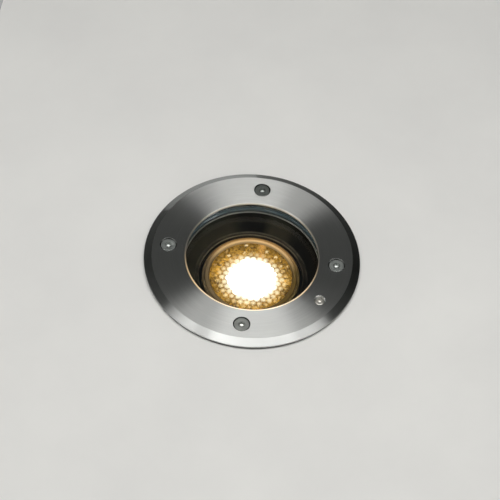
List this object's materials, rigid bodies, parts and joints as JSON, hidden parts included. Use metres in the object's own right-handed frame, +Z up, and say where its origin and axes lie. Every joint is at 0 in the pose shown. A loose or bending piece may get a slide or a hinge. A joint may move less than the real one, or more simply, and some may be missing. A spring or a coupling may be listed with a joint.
{
  "type": "in ground well light",
  "caption": "Round walk-over ground light: brushed steel cover ring and thick glass over a tilting reflector lamp, in a sealed pot that lifts out of a buried sleeve.",
  "frame": {"origin": "on the light's axis, in the plane of the ground surface that the sleeve's flange rests on", "axes": "+Z up out of the ground along the light's axis; two of the ring's screws lie on the X axis, two on the Y axis; the lamp tilts about Y"},
  "size_m": [0.115, 0.115, 0.1338],
  "materials": {
    "ring_steel": "turned, satin",
    "screw_steel": "machined",
    "clear_glass": "tempered, clear",
    "gasket_rubber": "moulded silicone, slate-blue",
    "black_rubber": "moulded",
    "baffle_black": "black coated, spun",
    "housing_black": "die cast, black coated",
    "sleeve_plastic": "moulded, fine texture",
    "zinc_steel": "zinc plated",
    "yellow_steel": "yellow passivated",
    "brass": "plain",
    "holder_ceramic": "unglazed",
    "lamp_metal": "cast, coated",
    "bezel_gold": "warm metal rim",
    "lamp_lens_clear": "micro-lens texture, lit from behind",
    "board_white": "solder mask",
    "phosphor": "phosphor",
    "board_green": "solder mask",
    "lamp_base_white": "moulded",
    "block_natural": "moulded",
    "gland_black": "moulded",
    "lead_brown": "insulation",
    "lead_blue": "insulation",
    "lead_green_yellow": "insulation"
  },
  "bodies": {
    "sleeve": {"mounting_sleeve": "sleeve_plastic", "sleeve_end_ring": "sleeve_plastic", "drain_plate": "sleeve_plastic"},
    "light_unit": {"lamp_housing": "housing_black", "cooling_fins": "housing_black", "anti_glare_baffle": "baffle_black", "gimbal_ring": "zinc_steel", "gimbal_screws": "screw_steel", "terminal_block": "block_natural", "terminal_screws": "brass", "terminal_mount_screws": "screw_steel", "earth_terminal": "brass", "earth_screw": "screw_steel", "gland_body": "gland_black", "gland_o_ring": "black_rubber", "gland_lock_nut": "gland_black", "gland_seal": "black_rubber", "gland_cap": "gland_black", "lead_live": "lead_brown", "lead_neutral": "lead_blue", "lead_earth": "lead_green_yellow"},
    "cradle": {"lamp_cradle": "yellow_steel", "pivot_screws": "screw_steel", "friction_washers": "black_rubber", "lamp_holder": "holder_ceramic", "holder_cap": "holder_ceramic", "holder_contacts": "brass", "holder_screws": "screw_steel"},
    "lamp": {"lamp_shell": "lamp_metal", "lamp_bezel": "bezel_gold", "lamp_lens": "lamp_lens_clear", "led_board": "board_white", "led_chip": "phosphor", "driver_board": "board_green", "lamp_base": "lamp_base_white", "lamp_pins": "brass"},
    "cover": {"cover_ring": "ring_steel", "cover_screws": "screw_steel", "vent_screw": "screw_steel", "front_glass": "clear_glass", "glass_gasket": "gasket_rubber"}
  },
  "joints": [
    {"name": "unit_lift", "type": "slide", "parent": "sleeve", "child": "light_unit", "axis": [0, 0, 1], "range_m": [0, 0.14]},
    {"name": "lamp_tilt", "type": "hinge", "parent": "light_unit", "child": "cradle", "pos_m": [0, 0, -0.0275], "axis": [0, 1, 0], "range_deg": [-15, 15], "deforming": ["lead_live", "lead_neutral"]},
    {"name": "lamp_twist", "type": "hinge", "parent": "cradle", "child": "lamp", "pos_m": [0, 0, -0.0655], "axis": [0, 0, 1], "range_deg": [0, 25]},
    {"name": "cover_lift", "type": "slide", "parent": "light_unit", "child": "cover", "axis": [0, 0, 1], "range_m": [0, 0.06]}
  ]
}
